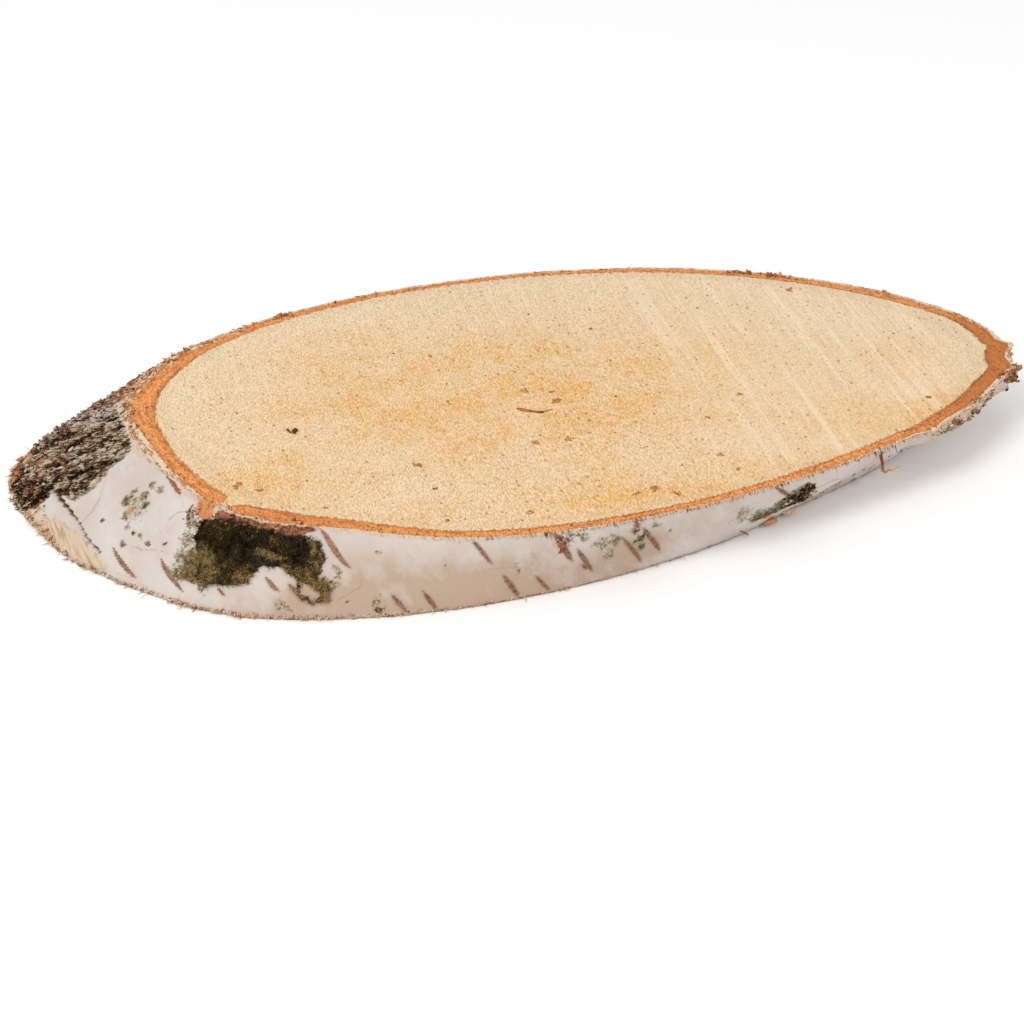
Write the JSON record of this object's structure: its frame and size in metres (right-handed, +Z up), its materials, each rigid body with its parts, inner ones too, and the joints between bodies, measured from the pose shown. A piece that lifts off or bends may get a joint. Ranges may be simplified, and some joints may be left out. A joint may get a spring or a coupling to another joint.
{
  "type": "birch wood slice",
  "caption": "Oval slice sawn obliquely from a round birch trunk, with flat wooden faces and a slanting rim of white bark; a base for table decorations.",
  "frame": {"origin": "centre of the bounding box's bottom, on the lower sawn face's plane", "axes": "+X along the long way of the oval, towards the end where the bark is undercut; +Z up, square to the sawn faces; +Y towards the back"},
  "size_m": [0.2638, 0.139, 0.0175],
  "materials": {
    "sawn_wood": "dry saw-cut birch, cream with a deeper yellow heart, pores and fine saw marks",
    "inner_bark": "fibrous orange-brown inner bark, cut across",
    "white_bark": "smooth papery grey-white bark with brown lenticels",
    "rough_bark": "cracked black and olive crust with orange-brown torn edges",
    "moss": "short dark green-black moss over a branch scar",
    "torn_fibre": "frayed orange and straw-coloured bark fibres and crumbs"
  },
  "bodies": {
    "root": {"birch_slice": "sawn_wood"}
  },
  "joints": []
}
